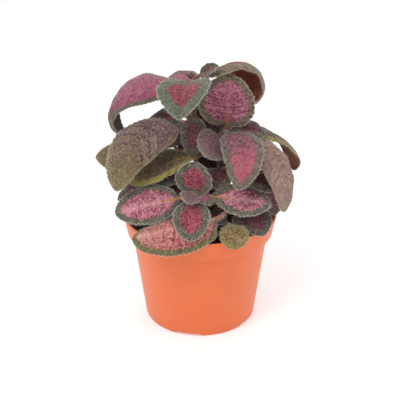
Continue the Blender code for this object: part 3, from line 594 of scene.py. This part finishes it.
def fineLeaf(one, path, seed, shift=None):
    # the same rule as the solid leaf's, with more rows, small teeth and relief
    form, steps = bladeForm, bladeForm["pathSteps"]
    marks = np.linspace(0, 1, steps + 1)
    middles = (marks[1:] + marks[:-1]) / 2
    (stalkLength, rise), (length, width) = one["stalk"], one["blade"]

    def stalkWays(q):
        yaw = one["yaw"] - one["turn"] * (1 - q) ** 0.4
        return leafWays(yaw, between((rise, one["pitch"][0]), q), one["roll"][0] * q)

    def bladeWays(t):
        return leafWays(one["yaw"] + one["sway"] * t, between(one["pitch"], t ** one["bend"]),
                        between(one["roll"], t))

    root, axis = onStem(path, one["at"])
    ahead = stalkWays(np.array([0.0]))[0][0]
    outward = ahead - axis * (ahead @ axis)
    outward /= np.linalg.norm(outward)
    start = root + ahead * (jointRadius(one["at"]) + stemForm["leafGap"]) / (ahead @ outward)
    if shift is not None:
        start = shift(start, axis)
    stalkLine = runOn(start, stalkWays(middles)[0], stalkLength / steps)
    bladeLine = runOn(stalkLine[-1], bladeWays(middles)[0], length / steps)

    # rows: q runs along the stalk from inside the stem, t along the blade
    columns = form["columns"] if width > form["smallWidth"] else form["smallColumns"]
    teeth = int(np.clip(round(length / form["toothPitch"]), *form["teeth"]))
    share = np.linspace(0, 1, teeth * form["rowsPerTooth"] + 1)[1:]
    t = 0.4 * share + 0.3 * (1 - np.cos(pi * share))
    q = np.linspace(0, 1, max(3, round(stalkLength / form["stalkStep"])))
    s = np.linspace(-1, 1, columns + 1)
    s = np.sign(s) * np.abs(s) ** form["columnSpread"]
    turn = pi * (1 - (np.arange(columns + 1) + 0.5) / (columns + 1))
    stalkRadius = form["stalkRadius"] * (1 - form["slimming"] * max(0, 1 - width / form["fullWidth"]))

    def circles(centre, left, up, radius):  # upper then lower half of each ring
        return [centre[:, None] + radius[:, None, None] * (np.cos(turn)[None, :, None] * left[:, None]
                                                          + way * np.sin(turn)[None, :, None] * up[:, None])
                for way in (1, -1)]

    qWays = stalkWays(q)
    flare = 1 + form["stalkFlare"] * np.exp(-q * stalkLength / 1.5) + 0.15 * softStep(0.75, 1, q)
    stalkRings = circles(pointsAt(stalkLine, marks, q), qWays[1], qWays[2], stalkRadius * flare)
    stalkRings = [np.concatenate([ring[:1] - ahead * form["intoStem"], ring]) for ring in stalkRings]

    left, up = bladeWays(t)[1:]
    middle = pointsAt(bladeLine, marks, t)
    widest, blunt = one["shape"]
    half = width / 2 * np.sin(pi * np.minimum(t, 0.9995) ** widest) ** blunt
    tooth = np.abs(np.sin(pi * share * teeth)) ** 0.7
    depth = form["toothDepth"] * min(1, length / form["fullLength"]) * softStep(0.03, 0.12, t)
    edge = np.maximum(half - depth * (1 - tooth), form["leastHalf"])
    tt, ss = t[:, None], s[None, :]
    across = np.abs(ss)
    toothed = half[:, None] + (edge - half)[:, None] * across ** 6
    sign = np.where(ss >= 0, 1.0, -1.0)
    fold = radians(one["fold"])
    curl = np.radians(np.where(ss > 0, *one["cup"]))
    bent = fold + curl * across
    flatCurl = np.abs(curl) < 1e-6
    safe = np.where(flatCurl, 1, curl)
    x = np.where(flatCurl, across * cos(fold), (np.sin(bent) - sin(fold)) / safe)
    z = np.where(flatCurl, across * sin(fold), (cos(fold) - np.cos(bent)) / safe)
    wide = toothed * (1 + one["uneven"] * sign)
    tilt = (sign * bent)[..., None]
    normal = np.cos(tilt) * up[:, None] - np.sin(tilt) * left[:, None]
    skin = middle[:, None] + left[:, None] * (sign * wide * x)[..., None]
    skin = skin + up[:, None] * (wide * z)[..., None]

    # relief: quilted between the side veins, with pebbles, and a wavy edge
    flatX, flatY = wide * ss, tt * length + 0 * ss
    phase = (tt - leafSkin["veinLean"] * across ** leafSkin["veinCurve"]) * leafSkin["veinPairs"]
    window = softStep(0, 0.15, across) * (1 - softStep(0.8, 1, across)) * softStep(0.02, 0.15, tt)
    wave = np.sin(tau * tt * (2.5 + seed % 3) + seed) * np.minimum(1, half / 12)[:, None]
    relief = form["veinDepth"] * (np.abs(np.cos(pi * phase)) ** 0.6 - 0.5) * window
    relief += form["pebble"] * np.sin(flatX * 2.1 + seed) * np.sin(flatY * 2.3 + flatX * 0.8) * window
    relief += form["edgeWave"] * across ** 4 * wave
    skin = skin + normal * relief[..., None]
    thick = form["thickness"] / 2 * (1 - form["edgeShare"] * across ** 2)
    rib = form["ribDepth"] * (1 - 0.8 * tt) * np.exp(-(flatX / form["ribSpread"]) ** 2)
    upper = skin + normal * (thick - 0.35 * rib)[..., None]
    lower = skin - normal * (thick + rib)[..., None]
    join = softStep(0, form["joinShare"], t)[:, None, None]
    rounds = circles(middle, left, up, np.full(len(t), stalkRadius * form["joinWidth"]))
    upper, lower = (ring * (1 - join) + side * join for ring, side in zip(rounds, (upper, lower)))

    # the rings of points, and what the finish and the hairs read at each of them
    rings = np.concatenate([np.concatenate([stalkRings[0], upper]),
                            np.concatenate([stalkRings[1], lower])[:, ::-1]], 1)
    rows, around = rings.shape[:2]
    stalkRows = len(stalkRings[0])
    tAll = np.concatenate([np.linspace(-stalkLength / length, 0, stalkRows), t])
    sRing = bothSides(s[None])
    wideRing = bothSides(np.concatenate([np.full((stalkRows, columns + 1), stalkRadius), wide]))
    topSide = np.repeat([1.0, -1.0], columns + 1)
    place = np.stack(np.broadcast_arrays(sRing, tAll[:, None], topSide[None]), -1)
    flat = np.stack(np.broadcast_arrays(sRing * wideRing, tAll[:, None] * length + 0 * wideRing,
                                        seed * leafSkin["patternStep"]), -1)
    outline = np.concatenate([[[0, 0]], np.stack([wide[:, 0] * -1, t * length], 1),
                              np.stack([wide[:, -1], t * length], 1)])
    narrow = max(1, leafSkin["fullBorder"] / width) ** leafSkin["narrowing"]
    inset = np.sqrt(((flat[..., None, :2] - outline) ** 2).sum(-1).min(-1)) * narrow
    rates = np.where(inset[:-1] < hairRates["bandWidth"], hairRates["band"], hairRates["top"])
    rates[:, columns + 1:] = hairRates["under"]
    rates[:, [columns, around - 1]] = hairRates["rim"]
    rates[:stalkRows] = hairRates["stalk"]
    rates[0] = 0
    return {"points": rings.reshape(-1, 3), "faces": ringFaces(rows, around), "place": place.reshape(-1, 3),
            "flat": flat.reshape(-1, 3), "inset": inset.ravel(), "rates": rates.ravel(), "around": around}


def closedFaces(shape):
    # rows of quads with both ends closed, turned so that they face outwards
    around, count = shape["around"], len(shape["points"])
    faces = shape["faces"].tolist()
    faces.append(list(range(around))[::-1])
    faces.append(list(range(count - around, count)))
    a, b, c, d = (shape["points"][shape["faces"][:, k]] for k in range(4))
    volume = np.einsum("ij,ij->i", a, np.cross(b, c) + np.cross(c, d)).sum()
    return faces if volume > 0 else [face[::-1] for face in faces]


def leafMesh(name, shapes):
    points = np.concatenate([shape["points"] for shape in shapes])
    faces, rates, first = [], [], 0
    for shape in shapes:
        faces += [[first + k for k in face] for face in closedFaces(shape)]
        rates += [*shape["rates"], 0, 0]
        first += len(shape["points"])
    mesh = newMesh(name, points, faces)
    for label in ("place", "flat", "inset"):
        values = np.concatenate([shape[label] for shape in shapes])
        addLayer(mesh, "leaf" + label.capitalize(), "POINT", values)
    addLayer(mesh, "hairRate", "FACE", rates)
    return mesh


paths = {name: smoothPath(corners) for name, corners in stemPaths.items()}
leafShapes = {}
leafPieces = {}
worst, allowed = 0, 4.0
for number, (name, one) in enumerate(leaves.items()):
    leafShapes[name] = fineLeaf(one, paths[one["stem"]], number + 1)
    mesh = leafMesh(name, [leafShapes[name]])
    leafPieces[name] = newPiece(name + "_blade", mesh, leafMaterials[one["look"]])
    points = leafShapes[name]["points"]
    ends = np.array([points.min(0), points.max(0)])
    worst = max(worst, np.abs(ends - np.array(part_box(name)) / mm).max())
assert worst < allowed, f"a leaf is {worst:.1f} mm from its solid"
print(f"{len(leaves)} leaves made, at most {worst:.1f} mm from their solids")

tipShapes = []
for stem, tips in tipLeaves.items():
    top = paths[stem][-1]
    for k, (yaw, length) in enumerate(tips):
        one = leaf(stem, 1, yaw, (tipForm["stalk"], tipForm["pitch"][0]), (length, length * tipForm["width"]),
                   tipForm["pitch"], "crimson", fold=tipForm["fold"])
        sink = tipForm["sink"] + tipForm["step"] * k
        tipShapes.append(fineLeaf(one, paths[stem], tipForm["firstSeed"] + len(tipShapes),
                                  lambda start, axis: top - axis * sink))
tipPiece = newPiece("tip_leaves", leafMesh("tip_leaves", tipShapes), leafMaterials["crimson"])


# a stem is a line with swellings, made round by a tree
def stemTree():
    recipe, given = newTree("round stem", stemSkin)
    circle = recipe.shape("CurvePrimitiveCircle", {"Resolution": given["Sides"], "Radius": mm}, "Curve")
    width = recipe.shape("InputNamedAttribute", {"Name": "stemRadius"}, data_type="FLOAT")
    line = recipe.shape("MeshToCurve", {"Mesh": given["Geometry"]})
    tube = recipe.shape("CurveToMesh", {
        "Curve": line, "Profile Curve": circle, "Scale": width, "Fill Caps": True})
    noise = recipe.noise(recipe.shape("InputPosition"), given["Bump Scale"])
    push = recipe.scaled(recipe.shape("InputNormal", None, "Normal"), (noise - 0.5) * given["Bumps"])
    tube = recipe.shape("SetPosition", {"Geometry": tube, "Offset": push})
    tube = recipe.shape("SetShadeSmooth", {"Geometry": tube, "Shade Smooth": True})
    return endTree(recipe, tube, given["Material"])


def stemCurve(name, path):
    marks = distances(path)
    total = marks[-1]
    where = np.arange(0, total, stemForm["step"])
    slim = jointRadius(where / total) - stemForm["swell"]
    radius = slim
    for joint in [one["at"] * total for one in leaves.values() if one["stem"] == name]:
        bulge = np.exp(-((where - joint) / stemForm["swellLength"]) ** 2)
        radius = np.maximum(radius, slim + stemForm["swell"] * bulge)
    top, axis = onStem(path, 1)
    foot = path[0] - np.array([0, 0, path[0][2] - stemForm["foot"]])
    points = [foot, *pointsAt(path, marks, where)]
    radii = [radius[0], *radius]
    for along, share in ((0, 1), (0.5, 0.9), (0.8, 0.66), (1, 0.25)):  # the rounded tip
        points.append(top + axis * stemForm["tipLength"] * along)
        radii.append((jointRadius(1) - stemForm["swell"]) * share)
    line = newLine(name, points)
    addLayer(line, "stemRadius", "POINT", radii)
    return line


stemPieces = {}
roundStem = stemTree()
for name, path in paths.items():
    stemPieces[name] = grown("stem_" + name + "_skin", stemCurve(name, path), roundStem,
                             {**stemSkin, "Material": stemFinish})
print("stems grown")


# hairs: tiny cones on the leaves, thickest along their edges
hairForm = {"Density": 1e6, "Length": 0.0013, "Radius": 0.00007, "Lean": 0.45, "Seed": 3}


def hairTree():
    recipe, given = newTree("soft hairs", hairForm)
    rate = recipe.shape("InputNamedAttribute", {"Name": "hairRate"}, data_type="FLOAT")
    spots = recipe.shape("DistributePointsOnFaces", {
        "Mesh": given["Geometry"], "Density": rate * given["Density"], "Seed": given["Seed"]}, "Points")
    facing = Wire(recipe.tree, spots.socket.node.outputs["Normal"])
    stray = recipe.scaled(recipe.random((-1, -1, -1), (1, 1, 1), given["Seed"]), given["Lean"])
    way = recipe.node("ShaderNodeVectorMath", {"operation": "ADD"}, {"Vector": facing, "Vector_001": stray},
                      "Vector")
    turned = recipe.node("FunctionNodeAlignRotationToVector", {"axis": "Z"}, {"Vector": way})
    hair = recipe.shape("MeshCone", {
        "Vertices": 3, "Radius Top": 0.0, "Radius Bottom": given["Radius"], "Depth": given["Length"]},
        "Mesh", fill_type="NGON")
    size = recipe.random(0.55, 1.15, given["Seed"])
    hairs = recipe.shape("InstanceOnPoints", {
        "Points": spots, "Instance": hair, "Rotation": turned, "Scale": size})
    return endTree(recipe, hairs, given["Material"])


softHairs = hairTree()
hairPieces = []
for place, stem in enumerate(stemPaths):
    shapes = [leafShapes[name] for name, one in leaves.items() if one["stem"] == stem]
    hairPieces.append(grown("hairs_" + stem, leafMesh("hairs_" + stem, shapes), softHairs,
                            {**hairForm, "Seed": hairForm["Seed"] + place, "Material": hairFinish}))
    print("hairs", stem, len(hairPieces[-1].data.polygons))


# the pot: a turned profile, with notches and drain holes cut from below
potForm = {"height": 88.0, "wall": 1.3, "floor": 3.2, "base": 43.9, "rounding": 2.4, "bodyTop": 53.3,
           "band": 15.3, "rimFoot": 57.0, "rim": 60.0, "lip": 0.7}
potCuts = {"Segments": 180, "Notches": 5, "First Notch": radians(258), "Notch Distance": 0.04115,
           "Notch Size": (0.0243, 0.02, 0.0046), "Hole Distance": 0.035, "Hole Radius": 0.0035,
           "Hole Depth": 0.012}
# the third colour is painted shade, laid in patches on the plastic towards the pot's foot, up to the given
# height
plasticForm = {"colour": (0.765, 0.155, 0.038, 1), "shade": (0.735, 0.145, 0.036, 1),
               "paintedFootShade": (0.5, 0.09, 0.03, 1), "paintedShadeHeight": 0.012, "roughness": 0.42, "bump": 0.00006,
               "cloudScale": 38, "grainScale": 1500, "ringScale": 60, "ringStretch": (1, 1, 14)}


def rounded(corners, steps=5):
    # an outline whose corners (radius from the axis, height, rounding) are rounded off
    line = []
    for k, (x, y, size) in enumerate(corners):
        here = np.array([x, y])
        if not size:
            line.append(here)
            continue
        before, after = (np.array(corners[n][:2]) - here for n in (k - 1, k + 1))
        a = here + before / np.linalg.norm(before) * size
        b = here + after / np.linalg.norm(after) * size
        for step in range(steps + 1):
            u = step / steps
            line.append(a * (1 - u) ** 2 + here * 2 * u * (1 - u) + b * u ** 2)
    return np.array(line)


def potOutline(height, wall, floor, base, rounding, bodyTop, band, rimFoot, rim, lip):
    shoulder = height - band
    slope = (rim - rimFoot) / band
    bodySlope = (bodyTop - base) / shoulder
    innerFoot = rimFoot + slope * wall - wall
    return rounded([
        (0, 0, 0), (base, 0, rounding), (bodyTop, shoulder, 0.4), (rimFoot, shoulder, lip),
        (rim, height, lip), (rim - wall, height, 0.3), (innerFoot, shoulder + wall, 0.6),
        (bodyTop - wall, shoulder, 0.6), (base + bodySlope * floor - wall, floor, 0.8), (0, floor, 0)])


def potTree():
    recipe, given = newTree("turned pot", potCuts)
    # the profile runs round a ring with next to no radius, so it turns on the pot's axis
    ring = recipe.shape("CurvePrimitiveCircle", {"Resolution": given["Segments"], "Radius": 1e-7}, "Curve")
    side = recipe.shape("MeshToCurve", {"Mesh": given["Geometry"]})
    wall = recipe.shape("CurveToMesh", {"Curve": ring, "Profile Curve": side})
    wall = recipe.shape("MergeByDistance", {"Geometry": wall, "Distance": 2e-6})

    def aroundPot(thing, distance):  # copies on a circle, each turned to face outwards
        circle = recipe.shape("MeshCircle", {"Vertices": given["Notches"], "Radius": distance})
        facing = recipe.node("FunctionNodeAlignRotationToVector", {"axis": "X"},
                             {"Vector": recipe.shape("InputPosition")})
        placed = recipe.shape("InstanceOnPoints", {"Points": circle, "Instance": thing, "Rotation": facing})
        placed = recipe.shape("RealizeInstances", {"Geometry": placed})
        turn = recipe.node("ShaderNodeCombineXYZ", None, {"Z": given["First Notch"]})
        return recipe.shape("Transform", {"Geometry": placed, "Rotation": turn})

    notch = recipe.shape("MeshCube", {"Size": given["Notch Size"]}, "Mesh")
    hole = recipe.shape("MeshCylinder", {
        "Vertices": 32, "Radius": given["Hole Radius"], "Depth": given["Hole Depth"]}, "Mesh")
    for cutter, distance in ((notch, given["Notch Distance"]), (hole, given["Hole Distance"])):
        wall = recipe.shape("MeshBoolean", {"Mesh 1": wall, "Mesh 2": aroundPot(cutter, distance)}, "Mesh",
                            operation="DIFFERENCE", solver="EXACT")
    return endTree(recipe, wall, given["Material"])


def plasticMaterial():
    material, recipe, shader = newMaterial("terracotta_plastic", {
        "Specular IOR Level": 0.5, "Subsurface Weight": 0.12, "Subsurface Scale": 0.004,
        "Subsurface Radius": (1.0, 0.35, 0.15)})
    spot = recipe.node("ShaderNodeTexCoord", None, None, "Object")
    cloud = recipe.noise(spot, plasticForm["cloudScale"], 3)
    fine = recipe.noise(spot, plasticForm["grainScale"], 2, 0.6)
    stretched = recipe.node("ShaderNodeMapping", None, {"Vector": spot, "Scale": plasticForm["ringStretch"]})
    ringed = recipe.noise(stretched, plasticForm["ringScale"])
    # painted shade: the plastic darkens in patches towards the foot of the pot
    low = recipe.split(spot)[2].fade(plasticForm["paintedShadeHeight"], 0.0)
    colour = recipe.mix(cloud.fade(0.3, 0.7), plasticForm["shade"], plasticForm["colour"])
    colour = recipe.mix(low * cloud * 0.35, colour, plasticForm["paintedFootShade"])
    feed(recipe, shader, colour=colour,
         roughness=(cloud - 0.5) * 0.16 + (fine - 0.5) * 0.1 + plasticForm["roughness"],
         normal=recipe.bump(fine * 0.4 + ringed, plasticForm["bump"]))
    return material


outline = potOutline(**potForm)
profile = newLine("pot_profile", np.column_stack([outline * (1, -1), np.zeros(len(outline))]))
potPiece = grown("pot_shell", profile, potTree(), {**potCuts, "Material": plasticMaterial()})
potPiece.data.shade_smooth()
potPiece.data.set_sharp_from_angle(angle=radians(35))
print("pot", [round(v * 1000, 1) for v in potPiece.dimensions], len(potPiece.data.polygons))


# the soil and its crumbs
soilForm = {"top": 77.6, "lump": 0.9, "radius": 56.2, "bottom": 3.6, "bottomRadius": 42.9, "rings": 34,
            "segments": 120}
crumbForm = {"Density": 90000.0, "Size": 0.0011, "Lowest": (soilForm["top"] - 1.2) * mm, "Seed": 5}


def soilMesh(top, lump, radius, bottom, bottomRadius, rings, segments):
    slope = (radius - 1.6 - bottomRadius) / (top - bottom)
    rows = [(bottomRadius, bottom), (radius - 6 - slope, top - 8), (radius - 0.6, top - 2)]
    rows += [(radius * share, top) for share in np.linspace(1, 0, rings)[:-1] ** 0.8]
    angles = np.arange(segments) * tau / segments
    points = np.array([(r * cos(a), r * sin(a), z) for r, z in rows for a in angles])
    x, y = points[:, 0], points[:, 1]
    lumps = np.sin(x * .31 + 1.3) * np.cos(y * .27) + .6 * np.sin(x * .73 + y * .51)
    lumps += .4 * np.cos(y * 1.1 - x * .4) + .3 * np.sin(x * 2.3 + 1) * np.sin(y * 2.1 + x)
    points[:, 2] += np.where(points[:, 2] > top - 0.1, lump * lumps / 2, 0)
    faces = ringFaces(len(rows), segments).tolist()
    last, centre = (len(rows) - 1) * segments, len(points)
    points = np.concatenate([points, [[0, 0, top + lump * 0.35], [0, 0, bottom]]])
    for i in range(segments):
        j = (i + 1) % segments
        faces += [(last + i, last + j, centre), (j, i, centre + 1)]
    return newMesh("soil", points, faces)


def crumbTree():
    recipe, given = newTree("soil crumbs", crumbForm)
    height = recipe.split(recipe.shape("InputPosition"))[2]
    spots = recipe.shape("DistributePointsOnFaces", {
        "Mesh": given["Geometry"], "Selection": height.maths("GREATER_THAN", given["Lowest"]),
        "Density": given["Density"], "Seed": given["Seed"]}, "Points")
    ball = recipe.shape("MeshIcoSphere", {"Radius": given["Size"], "Subdivisions": 1}, "Mesh")
    scale = recipe.random((0.3, 0.3, 0.25), (1.3, 1.1, 0.9), 7)
    turn = recipe.random((0, 0, 0), (tau, tau, tau), 8)
    crumbs = recipe.shape("InstanceOnPoints", {
        "Points": spots, "Instance": ball, "Rotation": turn, "Scale": scale})
    return endTree(recipe, crumbs, given["Material"])


soilPiece = newPiece("soil_fill", soilMesh(**soilForm), soilFinish)
crumbPiece = grown("soil_crumbs", soilPiece.data, crumbTree(), {**crumbForm, "Material": crumbFinish})
print("soil crumbs", len(crumbPiece.data.polygons))


# each piece rides on the one body and stands for its solid
def settle(piece, slot, *nodes):
    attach(piece, "root")
    if nodes:
        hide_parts(*nodes)


slotOf = {row["node"]: row["material_slot"] for row in frame["record"]["subparts"]}
for name, piece in leafPieces.items():
    settle(piece, slotOf[name], name)
for name, piece in stemPieces.items():
    settle(piece, "stem", "stem_" + name)
settle(tipPiece, "stem")
for piece in hairPieces:
    settle(piece, "pink_leaf")
settle(potPiece, "pot_plastic", "pot")
settle(soilPiece, "potting_soil", "soil")
settle(crumbPiece, "potting_soil")


# floor, light and camera
studio = {"floor": 12.0, "floorColour": (0.76, 0.76, 0.76, 1), "floorGlow": 0.34, "world": 0.66,
          "lamps": [((-0.7, -0.9, 1.5), 0.9, 14.0), ((1.0, -0.6, 1.1), 1.0, 4.0),
                    ((0.1, 1.1, 1.3), 1.0, 5.0)]}
view = {"lens": 69.3, "distance": 0.6, "elevation": 23.7, "target": (0, 0, 0.0966)}

reach = studio["floor"] / 2
floorMesh = bpy.data.meshes.new("floor")
floorMesh.from_pydata([(-reach, -reach, 0), (reach, -reach, 0), (reach, reach, 0), (-reach, reach, 0)], [],
                      [(0, 1, 2, 3)])
floorFinish = newMaterial("floor_white", {
    "Base Color": studio["floorColour"], "Roughness": 0.75, "Specular IOR Level": 0.2,
    "Emission Color": (1, 1, 1, 1), "Emission Strength": studio["floorGlow"]})[0]
floor = newPiece("floor", floorMesh, floorFinish)

world = bpy.data.worlds.new("studio")
bpy.context.scene.world = world
world.use_nodes = True
sky = world.node_tree.nodes["Background"].inputs
sky["Color"].default_value = (1, 1, 1, 1)
sky["Strength"].default_value = studio["world"]
target = Vector(view["target"])
for place, width, power in studio["lamps"]:
    lamp = bpy.data.lights.new("softbox", "AREA")
    lamp.shape, lamp.size, lamp.energy = "SQUARE", width, power
    holder = addObject("softbox", lamp)
    holder.location = place
    holder.rotation_euler = (Vector(place) - target).to_track_quat("Z", "Y").to_euler()

camera = addObject("camera", bpy.data.cameras.new("camera"))
tilt = radians(view["elevation"])
camera.location = target + Vector((0, -cos(tilt), sin(tilt))) * view["distance"]
camera.rotation_euler = (camera.location - target).to_track_quat("Z", "Y").to_euler()
camera.data.lens = view["lens"]
camera.data.sensor_width = 36
camera.data.clip_start = 0.01
bpy.context.scene.camera = camera
bpy.context.scene.view_settings.view_transform = "Standard"
print("stage set")
